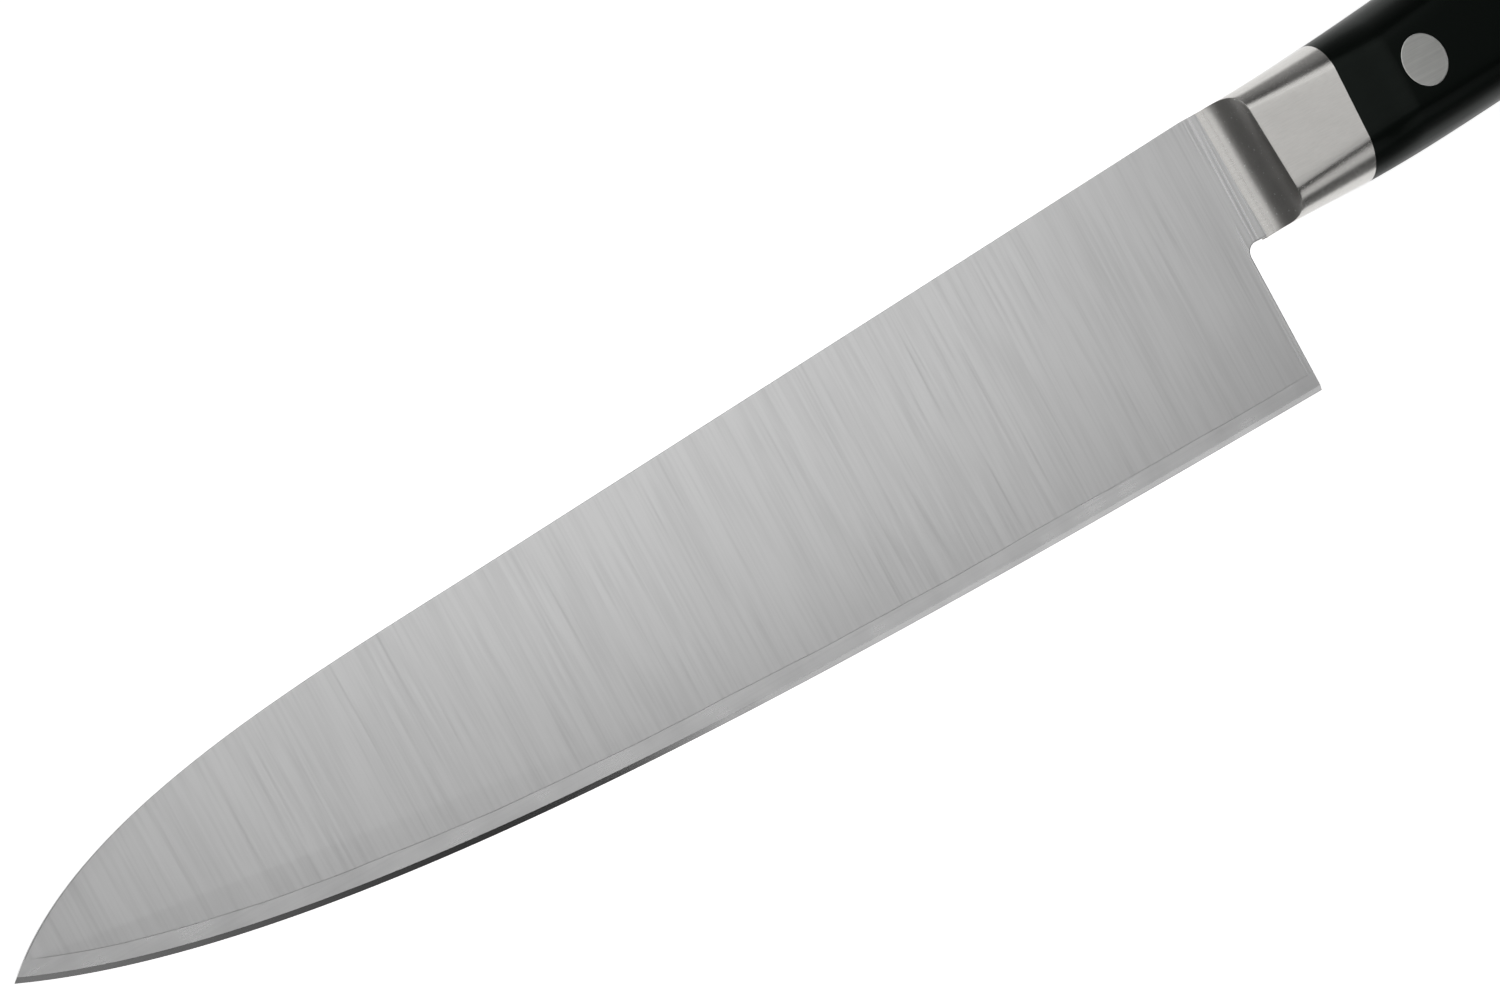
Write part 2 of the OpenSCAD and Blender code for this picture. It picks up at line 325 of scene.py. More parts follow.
EASE_STEPS = 3
FLAT_BORDER = 0.07        # a narrow flat border keeps a face's shading flat
BORDER_START = -206       # the plate is too narrow for the border from here to the tip


def prism(outline, low, high, ease, holes, split_x):
    """A plate with this outline, counter-clockwise, its upper edge eased by ease(x, y).

    low is the height of the flat underside, and high(x, y) is the upper face. Behind split_x the
    upper face lies in another plane, and holes are (centre, radius) bores through that part.
    """
    body = Body()
    count = len(outline)
    inward = []
    for i in range(count):
        a, b = Vector(outline[i - 1]), Vector(outline[(i + 1) % count])
        along = (b - a).normalized()
        inward.append(Vector((-along.y, along.x)))
    base = body.add([(x, y, low) for x, y in outline])
    previous = base
    for k in range(EASE_STEPS + 2):
        angle = math.pi / 2 * min(k / EASE_STEPS, 1)
        ring = []
        for (x, y), n in zip(outline, inward):
            e = ease(x, y)
            border = FLAT_BORDER if k > EASE_STEPS and BORDER_START < x < split_x else 0
            q = Vector((x, y)) + n * (e * (1 - math.cos(angle)) + border)
            ring.append((q.x, q.y, high(q.x, q.y) - e * (1 - math.sin(angle))))
        row = body.add(ring)
        body.band(previous, row)
        previous = row
    top_loop = [body.points[i] for i in previous]
    rim = [circle(c, r) for c, r in holes]
    front = rotate_run([i for i in range(count) if outline[i][0] < split_x], count)
    rear = rotate_run([i for i in range(count) if outline[i][0] >= split_x], count)
    upper = [body.add([(x, y, high(x, y)) for x, y in loop]) for loop in rim]
    body.faces.append(tuple(previous[i] for i in front))
    body.cap([[previous[i] for i in rear]] + upper, [[top_loop[i] for i in rear]] + rim, True)
    body.faces.append((previous[front[-1]], previous[front[0]],
                       previous[rear[-1]], previous[rear[0]]))
    lower = [body.add([(x, y, low) for x, y in loop]) for loop in rim]
    body.cap([base] + lower, [outline] + rim, False)
    for a, b in zip(upper, lower):
        body.band(a, b)
    return body


def rotate_run(run, count):
    """The same run of indices, started where it begins on a closed loop."""
    start = next(i for i, index in enumerate(run) if (index - 1) % count not in run)
    return run[start:] + run[:start]


# ---------------------------------------------------------------- materials
class Shader:
    """Builds one node material."""

    def __init__(self, name):
        self.material = bpy.data.materials.new(name)
        self.material.use_nodes = True
        self.tree = self.material.node_tree
        self.tree.nodes.clear()
        self.out = self.add("ShaderNodeOutputMaterial")
        self.base = self.add("ShaderNodeBsdfPrincipled")
        self.link(self.base.outputs[0], self.out.inputs[0])
        self.where = self.add("ShaderNodeTexCoord").outputs["Object"]
        self.bumped = None

    def add(self, kind, **settings):
        node = self.tree.nodes.new(kind)
        for key, value in settings.items():
            setattr(node, key, value)
        return node

    def link(self, a, b):
        self.tree.links.new(a, b)

    def brush(self):
        """Spreads reflections along the mesh's U direction, which lies across the brush lines."""
        node = self.add("ShaderNodeTangent", direction_type="UV_MAP", uv_map="UVMap")
        self.link(node.outputs[0], self.base.inputs["Tangent"])

    def set(self, **values):
        for key, value in values.items():
            self.base.inputs[key.replace("_", " ")].default_value = value

    def noise(self, size, detail=2, roughness=0.5, seed=0.0):
        """Noise whose features are size = (x, y, z) millimetres, from 0 to 1."""
        mapping = self.add("ShaderNodeMapping")
        mapping.inputs["Scale"].default_value = [1 / (s * MM) for s in size]
        mapping.inputs["Location"].default_value = (seed, seed * 0.7, seed * 1.3)
        self.link(self.where, mapping.inputs[0])
        noise = self.add("ShaderNodeTexNoise")
        noise.inputs["Scale"].default_value = 1
        noise.inputs["Detail"].default_value = detail
        noise.inputs["Roughness"].default_value = roughness
        self.link(mapping.outputs[0], noise.inputs["Vector"])
        return noise.outputs["Fac"]

    def span(self, value, low, high, to_low, to_high, smooth=False):
        """Maps value from low..high to to_low..to_high and keeps it between them."""
        node = self.add("ShaderNodeMapRange")
        node.interpolation_type = "SMOOTHSTEP" if smooth else "LINEAR"
        ends = {"From Min": low, "From Max": high, "To Min": to_low, "To Max": to_high}
        for key, number in ends.items():
            node.inputs[key].default_value = number
        self.link(value, node.inputs["Value"])
        return node.outputs["Result"]

    def math(self, operation, a, b):
        node = self.add("ShaderNodeMath", operation=operation)
        for socket, value in zip(node.inputs, (a, b)):
            if isinstance(value, (int, float)):
                socket.default_value = value
            else:
                self.link(value, socket)
        return node.outputs[0]

    def total(self, *values):
        found = values[0]
        for value in values[1:]:
            found = self.math("ADD", found, value)
        return found

    def blend(self, factor, a, b):
        """A colour between a and b."""
        node = self.add("ShaderNodeMix", data_type="RGBA")
        self.link(factor, node.inputs["Factor"])
        for socket, colour in ((node.inputs[6], a), (node.inputs[7], b)):
            if isinstance(colour, tuple):
                socket.default_value = (*colour, 1)
            else:
                self.link(colour, socket)
        return node.outputs[2]

    def part(self, axis):
        """The x, y or z of the place on the surface, in metres."""
        node = self.add("ShaderNodeSeparateXYZ")
        self.link(self.where, node.inputs[0])
        return node.outputs[axis]

    def facing(self, axis):
        """The x, y or z of the direction in which the surface faces."""
        node = self.add("ShaderNodeSeparateXYZ")
        self.link(self.add("ShaderNodeTexCoord").outputs["Normal"], node.inputs[0])
        return node.outputs[axis]

    def bump(self, height, depth, strength=1.0):
        """Raises the surface by depth millimetres where height is 1."""
        node = self.add("ShaderNodeBump")
        node.inputs["Distance"].default_value = depth * MM
        node.inputs["Strength"].default_value = strength
        self.link(height, node.inputs["Height"])
        if self.bumped is not None:
            self.link(self.bumped, node.inputs["Normal"])
        self.bumped = node.outputs[0]
        self.link(self.bumped, self.base.inputs["Normal"])


NECK_LINES = (-4.4, 4.6)  # the coarser lines set in between these places, in millimetres


def cladding_steel():
    """Satin stainless: fine grind lines that run from the spine to the edge."""
    s = Shader("cladding_steel")
    s.set(Metallic=1.0, Anisotropic=0.3)
    s.brush()
    fine = s.noise((0.45, 14, 14), detail=1, roughness=0.5, seed=3)
    streak = s.noise((1.1, 26, 26), detail=1, roughness=0.5, seed=11)
    cloud = s.noise((50, 40, 40), detail=2, seed=31)
    dark_line = s.span(s.noise((0.45, 24, 24), detail=1, seed=47), 0.58, 0.78, 0, 0.2)
    neck_start, neck_end = (place((x, 0, 0)).x for x in NECK_LINES)
    neck = s.span(s.part("X"), neck_start, neck_end, 0, 1, smooth=True)
    coarse = s.noise((0.42, 60, 60), detail=1, seed=53)
    neck_lines = s.math("MULTIPLY", s.span(coarse, 0.3, 0.7, -0.4, 0.6), neck)
    tone = s.total(s.span(fine, 0.2, 0.6, -0.2, 0.07), s.span(streak, 0.2, 0.8, -0.05, 0.05),
                   s.span(cloud, 0.3, 0.7, -0.04, 0.04), neck_lines)
    tone = s.math("SUBTRACT", tone, dark_line)
    level = s.span(tone, -0.5, 0.5, 0, 1)
    s.link(s.blend(level, (0.55, 0.55, 0.55), (0.71, 0.71, 0.71)), s.base.inputs["Base Color"])
    s.link(s.span(tone, -0.5, 0.5, 0.33, 0.25), s.base.inputs["Roughness"])
    s.bump(fine, 0.0008)
    return s.material


def core_steel():
    """The hard core: ground smooth along the edge strip, with a finer polish on the cutting bevels."""
    s = Shader("core_steel")
    s.set(Metallic=1.0)
    along = s.noise((30, 0.35, 0.35), detail=3, roughness=0.6, seed=5)
    cloud = s.noise((6, 5, 5), detail=3, seed=17)
    tone = s.total(s.span(along, 0.25, 0.58, -0.25, 0.08), s.span(cloud, 0.3, 0.7, -0.3, 0.3))
    level = s.span(tone, -0.7, 0.7, 0, 1)
    bevel = s.span(s.facing("Y"), -0.2, -0.1, 1, 0)
    s.link(s.blend(level, (0.58, 0.58, 0.582), (0.70, 0.70, 0.70)), s.base.inputs["Base Color"])
    s.link(s.total(s.span(tone, -0.7, 0.7, 0.32, 0.25), s.math("MULTIPLY", bevel, -0.13)),
           s.base.inputs["Roughness"])
    s.bump(along, 0.0008)
    return s.material


def bolster_steel():
    """Polished bolster: its hollow is brushed from spine to edge, its flat sides are satin."""
    s = Shader("bolster_steel")
    s.set(Metallic=1.0)
    hollow = s.add("ShaderNodeAttribute", attribute_name="hollow").outputs["Fac"]
    satin = s.add("ShaderNodeAttribute", attribute_name="satin").outputs["Fac"]
    lines = s.noise((0.16, 14, 0.16), detail=3, roughness=0.65, seed=7)
    lengthwise = s.noise((16, 0.2, 0.2), detail=3, roughness=0.6, seed=13)
    cloud = s.noise((7, 5, 5), detail=3, seed=29)
    speck = s.span(s.noise((0.14, 0.14, 0.14), detail=1, seed=2), 0.7, 0.78, 0, 1)
    tone = s.total(s.span(lengthwise, 0.25, 0.75, -0.3, 0.3), s.span(cloud, 0.3, 0.7, -0.3, 0.3))
    level = s.span(tone, -0.6, 0.6, 0, 1)
    colour = s.blend(level, (0.53, 0.52, 0.502), (0.65, 0.638, 0.615))
    # painted highlight: near-white glint specks are blended into the hollow's base colour
    glint = s.span(s.noise((0.3, 0.45, 0.3), detail=1, seed=61), 0.7, 0.76, 0, 1)
    glint = s.math("MULTIPLY", glint, hollow)
    s.link(s.blend(glint, colour, (0.95, 0.95, 0.94)), s.base.inputs["Base Color"])
    rough = s.total(s.span(satin, 0, 1, 0.17, 0.33), s.math("MULTIPLY", hollow, 0.25),
                    s.span(cloud, 0.3, 0.7, -0.02, 0.03), s.math("MULTIPLY", speck, 0.1))
    s.link(rough, s.base.inputs["Roughness"])
    s.bump(s.math("MULTIPLY", lines, hollow), 0.009)
    s.bump(s.math("MULTIPLY", lengthwise, satin), 0.004)
    s.bump(speck, 0.004)
    return s.material


def rivet_steel():
    """Rivet heads are ground flush with the scales, so fine lines run along the handle."""
    s = Shader("rivet_steel")
    s.set(Metallic=1.0, Anisotropic=0.4)
    s.brush()
    lines = s.noise((12, 0.12, 0.12), detail=3, roughness=0.65, seed=9)
    wide = s.noise((18, 0.5, 0.5), detail=2, roughness=0.5, seed=19)
    cloud = s.noise((3, 2, 2), detail=2, seed=37)
    tone = s.total(s.span(lines, 0.25, 0.75, -0.35, 0.35), s.span(wide, 0.3, 0.7, -0.25, 0.25),
                   s.span(cloud, 0.3, 0.7, -0.2, 0.2))
    level = s.span(tone, -0.8, 0.8, 0, 1)
    s.link(s.blend(level, (0.56, 0.565, 0.545), (0.74, 0.745, 0.72)), s.base.inputs["Base Color"])
    s.link(s.span(tone, -0.8, 0.8, 0.40, 0.28), s.base.inputs["Roughness"])
    s.bump(lines, 0.003)
    return s.material


def handle_scale():
    """Black resin-laminated wood, polished: faint grain along the handle under a hard gloss."""
    s = Shader("handle_scale")
    s.set(Specular_IOR_Level=0.14, Specular_Tint=(0.8, 1, 0.88, 1), Coat_Weight=0.04, Coat_Roughness=0.1)
    grain = s.noise((22, 0.5, 0.6), detail=4, roughness=0.65, seed=21)
    layers = s.noise((60, 40, 0.9), detail=2, seed=33)
    speck = s.span(s.noise((0.3, 0.22, 0.22), detail=1, seed=41), 0.66, 0.76, 0, 1)
    tone = s.total(s.span(grain, 0.3, 0.7, -0.35, 0.35), s.span(layers, 0.3, 0.7, -0.25, 0.25),
                   s.math("MULTIPLY", speck, 0.5))
    level = s.span(tone, -0.6, 0.9, 0, 1)
    s.link(s.blend(level, (0.0002, 0.0006, 0.0003), (0.0014, 0.0026, 0.0018)),
           s.base.inputs["Base Color"])
    s.link(s.total(s.span(grain, 0.3, 0.7, 0.33, 0.4), s.math("MULTIPLY", speck, 0.12)),
           s.base.inputs["Roughness"])
    s.bump(grain, 0.0035)
    s.bump(speck, 0.002)
    return s.material


CLADDING = cladding_steel()
CORE = core_steel()
BOLSTER = bolster_steel()
RIVET = rivet_steel()
SCALE = handle_scale()

# ---------------------------------------------------------------- blank outline
CLAD_TOP_X = solve(lambda x: spine_y(x) - (edge_y(x) + CLAD_LINE_HEIGHT), -BLADE_LENGTH, -180)
BLADE_STATIONS = 170
STRIP_STATIONS = 260
TANG_STEP = 0.9
BUTT_TURN = 6             # length over which the outline turns round the butt
TURN_STATIONS = 24
CHOIL_STEPS = 14
STEP_GAP = 0.2            # no other station lies this near to the step at the tang's start
LINE_REACH = 0.05         # points this near above the clad line belong to it
LINE_EASE = 0.004
HANDLE_EASE = 0.01
SPINE_EASE = 0.16


def clad_line_y(x):
    return edge_y(x) + CLAD_LINE_HEIGHT + clad_wave(x)


def along_handle(start):
    """Places along the handle from start to the butt, closer together at the butt."""
    turn_x = BUTT_FACE_X - BUTT_TURN
    count = int((turn_x - start) / TANG_STEP)
    return ([start + (turn_x - start) * i / count for i in range(count)]
            + [BUTT_FACE_X - BUTT_TURN * (1 - math.sin(math.pi / 2 * i / TURN_STATIONS))
               for i in range(TURN_STATIONS + 1)])


def plate_outline():
    """The plate of blade and tang above the clad line, counter-clockwise."""
    xs = [CLAD_TOP_X * (1 - (1 - i / BLADE_STATIONS) ** 1.5) for i in range(BLADE_STATIONS + 1)]
    lower = [(x, clad_line_y(x)) for x in xs]
    upper = [(x, spine_y(x)) for x in xs[:-1] if x < -0.5]
    handle_xs = along_handle(4)
    tang = [0] + [x for x in handle_xs if x < TANG_START - STEP_GAP]
    tang += [TANG_START - 0.001, TANG_START + 0.001]
    tang += [x for x in handle_xs if x > TANG_START + STEP_GAP]
    upper_tang = [(x, top_y(x) if x else HEEL_HEIGHT) for x in tang]
    lower_tang = [(x, bottom_y(x)) for x in tang if x > CHOIL_RADIUS]
    choil = [(CHOIL_RADIUS * (1 + math.cos(a)), belly_bottom - CHOIL_RADIUS * (1 - math.sin(a)))
             for a in (math.pi / 2 * (1 + i / CHOIL_STEPS) for i in range(CHOIL_STEPS + 1))]
    # from the heel along the clad line to the tip, back along the spine, out along the tang, and back
    clockwise = lower + upper[::-1] + upper_tang + lower_tang[::-1] + choil
    return clockwise[::-1]


def clad_ease(x, y):
    """How far the cladding's upper edges are rounded over."""
    if x > NECK_LENGTH:
        return HANDLE_EASE
    if y < clad_line_y(min(x, 0)) + LINE_REACH:
        return LINE_EASE
    return SPINE_EASE


rivet_spots = [(x, middle_y(x)) for x in RIVET_XS]
outline = plate_outline()
tang_holes = [(c, TANG_HOLE_R) for c in rivet_spots]
plate = prism(outline, CORE_HALF, blank_z, clad_ease, tang_holes, split_x=TANG_START)
cladding_right = build("cladding_right_fine", plate.points, plate.faces, CLADDING)
cladding_left = build("cladding_left_fine", *mirror(plate.points, plate.faces), CLADDING)


# ---------------------------------------------------------------- core sheet and edge strip
def core_body():
    """The core sheet between the cladding layers, with the bare edge strip below them."""
    body = Body()
    rim = [circle(c, TANG_HOLE_R) for c in rivet_spots]
    rows = []
    for z in (-CORE_HALF, CORE_HALF):
        ring = body.add([(x, y, z) for x, y in outline])
        rows.append([ring] + [body.add([(x, y, z) for x, y in loop]) for loop in rim])
    for lower, upper in zip(*rows):
        body.band(lower, upper)
    body.cap(rows[0], [outline] + rim, False)
    body.cap(rows[1], [outline] + rim, True)
    # the strip below the clad line: cutting bevel, flat up to the line, and the same on the left
    previous = None
    for i in range(STRIP_STATIONS + 1):
        x = -BLADE_LENGTH * math.sin(math.pi / 2 * i / STRIP_STATIONS)
        low, spine = edge_y(x), spine_y(x)
        line = min(clad_line_y(x), spine)
        bevel = min(low + BEVEL_HEIGHT, line)
        bevel_z = (ground_z(x, bevel) - STRIP_INSET) * (bevel - low) / BEVEL_HEIGHT
        line_z = ground_z(x, line) - STRIP_INSET if line > bevel else bevel_z
        ring = body.add([(x, low, 0), (x, bevel, bevel_z), (x, line, line_z),
                         (x, line, -line_z), (x, bevel, -bevel_z)])
        if previous:
            body.band(ring, previous)
        else:
            body.faces.append(tuple(ring))
        previous = ring
    return body


core = core_body()
blade_core = build("blade_core_fine", core.points, core.faces, CORE, sharp=6)


# ---------------------------------------------------------------- bolster and scale sections
def flare(t):
    """A smooth rise from 0 to 1."""
    return t * t * (3 - 2 * t)


def side_z(x):
    """Half thickness of bolster and scales."""
    if x <= BOLSTER_END:
        return RIDGE_HALF + (x - RIDGE_X) * BOLSTER_SWELL
    if x <= FLARE_END:
        t = (x - BOLSTER_END) / FLARE_LENGTH
        return (BOLSTER_REAR_HALF * (1 - flare(t)) + HALF_HANDLE * flare(t)
                + BOLSTER_SWELL * FLARE_LENGTH * t * (1 - t) ** 2)
    if x <= HANDLE_LENGTH - BUTT_ROUND:
        return HALF_HANDLE
    t = (x - HANDLE_LENGTH + BUTT_ROUND) / BUTT_ROUND
    return BUTT_HALF + (HALF_HANDLE - BUTT_HALF) * math.sqrt(max(0, 1 - t * t)) - butt_inset(x)


def ramp(x, *knots):
    """The value at x on straight lines through (x, value) knots."""
    if x <= knots[0][0]:
        return knots[0][1]
    for (xa, va), (xb, vb) in zip(knots, knots[1:]):
        if x <= xb:
            return va + (vb - va) * (x - xa) / (xb - xa)
    return knots[-1][1]


ROUNDING_SHARE = 0.46     # of the section's height, at most, that each rounding takes
ROUND_STEPS = 14
FLAT_STEPS = 10
SECTION_COUNT = 2 * (ROUND_STEPS + 2) + FLAT_STEPS - 1


def section(x):
    """Right half of the cross-section, from the blank's top edge round to its bottom edge."""
    z, top, bottom = side_z(x), top_y(x), bottom_y(x)
    reach = (top - bottom) * ROUNDING_SHARE
    drop = min(reach, ramp(x, (RIDGE_X, 3.8), (BOLSTER_END, 5.4), (FLARE_END, 6.4)))
    rise = min(reach, ramp(x, (RIDGE_X, 4.4), (BOLSTER_END, 6), (FLARE_END, 6.4)))
    strip = min(FLAT_STRIP, z * 0.5)
    top_crease = math.radians(ramp(x, (BOLSTER_END, 2), (FLARE_END + 12, 0)))
    low_crease = math.radians(ramp(x, (BOLSTER_END, 5), (FLARE_END + 20, 0)))

    def corner(edge, height, crease, k):
        full = math.pi / 2 - crease
        angle = full * k / ROUND_STEPS
        return (x, edge + height * (1 - math.cos(angle)) / (1 - math.cos(full)),
                strip + (z - strip) * math.sin(angle) / math.sin(full))

    points = [(x, top, blank_z(x, top))]
    points += [corner(top, -drop, top_crease, k) for k in range(ROUND_STEPS + 1)]
    upper, lower = top - drop, bottom + rise
    points += [(x, upper + (lower - upper) * k / FLAT_STEPS, z) for k in range(1, FLAT_STEPS)]
    points += [corner(bottom, rise, low_crease, k) for k in range(ROUND_STEPS, -1, -1)]
    points += [(x, bottom, blank_z(x, bottom))]
    return points


FLAT_FIRST = ROUND_STEPS + 1
FLAT_LAST = FLAT_FIRST + FLAT_STEPS


def joint_x(j):
    """Where the leaning joint between bolster and scale crosses section line j."""
    middle = middle_y(BOLSTER_END)

    def past(x):
        return (x - BOLSTER_END) - (section(x)[j][1] - middle) * math.tan(REAR_FACE_LEAN)

    return solve(past, BOLSTER_END - 3, BOLSTER_END + 3, 30)


joint_xs = [joint_x(j) for j in range(SECTION_COUNT)]

# The hollow front is part of a cylinder whose lowest line lies HOLLOW_LIP above the blade's face.
# Its own axes are u away from the foot, v along the cylinder, and w square to the blade's face.
foot_y = middle_y(NECK_LENGTH)
foot = Vector((NECK_LENGTH, foot_y, ground_z(NECK_LENGTH, foot_y)))
hollow_turn = Matrix.Rotation(WEDGE_ANGLE, 3, "X") @ Matrix.Rotation(RIDGE_LEAN, 3, "Z")


def to_hollow(point):
    return hollow_turn.transposed() @ (Vector(point) - foot)


def from_hollow(u, v, w):
    return foot + hollow_turn @ Vector((u, v, w))


def ridge_at(j):
    """The place along section line j where the hollow cuts it."""

    def outside(x):
        u, _, w = to_hollow(section(x)[j])
        if u < 0:
            return -1
        return u * u + (w - HOLLOW_RADIUS - HOLLOW_LIP) ** 2 - HOLLOW_RADIUS ** 2

    return solve(outside, NECK_LENGTH - 0.5, RIDGE_X + 0.8)


RIDGE_EASE = 0.13
RIDGE_BLUNT = 0.42        # share by which the ridge's corner is drawn in
FOOT_FEATHER = 1.6        # length over which the hollow's foot runs out on the blade
FOOT_SINK = 0.004
LOFT_STEPS = 26
ARC_STEPS = 30
# how much of the hollow's brushed finish its foot and ridge have, and how fast it grows from there
RIM_MARK = 0.3
MARK_RISE = 2.4
ROUNDING_MARK = 0.5       # how much of the flat side's satin finish the roundings have


def bolster_body():
    """Half bolster as a column for each section line: foot, hollow, eased ridge and side.

    The second result marks each point as (hollow, satin) for the material.
    """
    body = Body()
    columns, marks = [], []
    for j in range(SECTION_COUNT):
        ridge_x = ridge_at(j)
        u, v, w = to_hollow(section(ridge_x)[j])
        rise = min(max(w - HOLLOW_LIP, 0), HOLLOW_RADIUS)
        full = math.acos(1 - rise / HOLLOW_RADIUS)
        ease = min(RIDGE_EASE / HOLLOW_RADIUS, full * 0.3)
        # the two outermost lines run along the blank, so that the back stays under its face
        lip = -FOOT_SINK if j in (0, SECTION_COUNT - 1) else HOLLOW_LIP
        column = [from_hollow(-FOOT_FEATHER * (1 - t), v, (lip + FOOT_SINK) * flare(t) - FOOT_SINK)
                  for t in (0, 0.15, 0.3, 0.45, 0.6, 0.75, 0.9)]
        mark = [(RIM_MARK, 0)] * len(column)
        for k in range(ARC_STEPS + 1):
            angle = (full - ease) * k / ARC_STEPS
            column.append(from_hollow(HOLLOW_RADIUS * math.sin(angle), v,
                                      lip + HOLLOW_RADIUS * (1 - math.cos(angle))))
            mark.append((min(1, RIM_MARK + MARK_RISE * k / ARC_STEPS), 0))
        start = ridge_x + min(RIDGE_EASE, (joint_xs[j] - ridge_x) * 0.2)
        corner = Vector(section(ridge_x)[j])
        middle = (column[-1] + Vector(section(start)[j])) / 2
        column.append(corner.lerp(middle, RIDGE_BLUNT))
        mark.append((RIM_MARK, 0))
        satin = 1 if FLAT_FIRST <= j <= FLAT_LAST else ROUNDING_MARK
        for k in range(LOFT_STEPS + 1):
            x = start + (joint_xs[j] - start) * k / LOFT_STEPS
            column.append(Vector(section(x)[j]))
            mark.append((0, satin))
        columns.append(body.add(column))
        marks += mark
    for a, b in zip(columns, columns[1:]):
        body.band(b, a, closed=False)
    # back against the blank, and the rear face
    body.band(columns[0], columns[-1], closed=False)
    body.faces.append(tuple(column[-1] for column in reversed(columns)))
    body.faces.append(tuple(column[0] for column in columns))
    return body, marks


def mark_vertices(piece, marks):
    """Stores where the bolster is hollow and where it is satin, for its material."""
    for index, name in enumerate(("hollow", "satin")):
        layer = piece.data.attributes.new(name, "FLOAT", "POINT")
        for vertex, mark in enumerate(marks):
            layer.data[vertex].value = mark[index]


bolster, bolster_marks = bolster_body()
bolster_right = build("bolster_right_fine", bolster.points, bolster.faces, BOLSTER, sharp=40)
bolster_left = build("bolster_left_fine", *mirror(bolster.points, bolster.faces), BOLSTER, sharp=40)
mark_vertices(bolster_right, bolster_marks)
mark_vertices(bolster_left, bolster_marks)


# ---------------------------------------------------------------- scales
FLARE_STATIONS = 16
SIDE_STATIONS = 70
BUTT_STATIONS = 30
SIDE_BORDER = 0.4         # a narrow flat border keeps the flat side's shading flat


def scale_body():
    """The right handle scale, with its flat side cut out for the rivet heads."""
    body = Body()
    flare_xs = [BOLSTER_END + FLARE_LENGTH * i / FLARE_STATIONS for i in range(FLARE_STATIONS)]
    flat_end = HANDLE_LENGTH - BUTT_ROUND
    inner_start, inner_end = FLARE_END + SIDE_BORDER, flat_end - SIDE_BORDER
    inner_xs = [inner_start + (inner_end - inner_start) * i / SIDE_STATIONS
                for i in range(SIDE_STATIONS + 1)]
    flat_xs = [FLARE_END] + inner_xs + [flat_end]
    butt_xs = [flat_end + (BUTT_FACE_X - flat_end) * math.sin(math.pi / 2 * i / BUTT_STATIONS)
               for i in range(1, BUTT_STATIONS + 1)]
    rows = []
    for x in flare_xs + flat_xs + butt_xs:
        share = max(0, 1 - (x - BOLSTER_END) / FLARE_LENGTH)
        row = []
        for j in range(SECTION_COUNT):
            row.append(section(x + (joint_xs[j] - BOLSTER_END) * share)[j])
        rows.append(body.add(row))
    first, last = len(flare_xs), len(flare_xs) + len(flat_xs) - 1
    for i in range(len(rows) - 1):
        for j in range(SECTION_COUNT - 1):
            if first < i < last - 1 and FLAT_FIRST < j < FLAT_LAST - 1:
                continue
            body.faces.append((rows[i][j], rows[i][j + 1], rows[i + 1][j + 1], rows[i + 1][j]))
    left, right = first + 1, last - 1
    upper, lower = FLAT_FIRST + 1, FLAT_LAST - 1
    around = ([rows[i][lower] for i in range(left, right)]
              + [rows[right][j] for j in range(lower, upper, -1)]
              + [rows[i][upper] for i in range(right, left, -1)]
              + [rows[left][j] for j in range(upper, lower)])
    heads = [circle(c, RIVET_HEAD_R) for c in rivet_spots]
    bores = [circle(c, SCALE_HOLE_R) for c in rivet_spots]
    rims = [body.add([(x, y, HALF_HANDLE) for x, y in loop]) for loop in heads]
    body.cap([around] + rims, [[body.points[i] for i in around]] + heads, True)
    back = [row[0] for row in rows] + [row[-1] for row in reversed(rows)]
    mouths = []
    for loop, bore, rim in zip(heads, bores, rims):
        seat = body.add([(x, y, HEAD_UNDERSIDE) for x, y in loop])
        neck = body.add([(x, y, HEAD_UNDERSIDE) for x, y in bore])
        mouth = body.add([(x, y, BLANK_HALF) for x, y in bore])
        body.band(rim, seat)
        body.band(seat, neck)
        body.band(neck, mouth)
        mouths.append(mouth)
    body.cap([back] + mouths, [[body.points[i] for i in back]] + bores, False)
    body.faces.append(tuple(reversed(rows[0])))
    body.faces.append(tuple(rows[-1]))
    return body


scale = scale_body()
scale_right = build("scale_right_fine", scale.points, scale.faces, SCALE, sharp=32)
scale_left = build("scale_left_fine", *mirror(scale.points, scale.faces), SCALE, sharp=32)


# ---------------------------------------------------------------- rivets
AXIS_R = 0.001            # the innermost ring stands in for a point on the axis


def lathe(spot, profile, steps=72):
    """A body of revolution about the rivet's axis from (radius, z) points."""
    body = Body()
    rows = []
    for radius, z in profile:
        rows.append(body.add([(x, y, z) for x, y in circle(spot, max(radius, AXIS_R), steps)]))
    for a, b in zip(rows, rows[1:]):
        body.band(a, b)
    return body


HEAD_EASE = 0.07
HEAD_GAP = 0.01
SHANK_CHAMFER = 0.4


def head_profile(side):
    """The face and rim of a rivet head, from its centre outwards."""
    rim = RIVET_HEAD_R - HEAD_GAP
    return [(0, side * HALF_HANDLE), (rim - 2 * HEAD_EASE, side * HALF_HANDLE),
            (rim - HEAD_EASE, side * HALF_HANDLE),
            (rim - HEAD_EASE * 0.3, side * (HALF_HANDLE - HEAD_EASE * 0.3)),
            (rim, side * (HALF_HANDLE - HEAD_EASE)), (rim, side * HEAD_UNDERSIDE)]


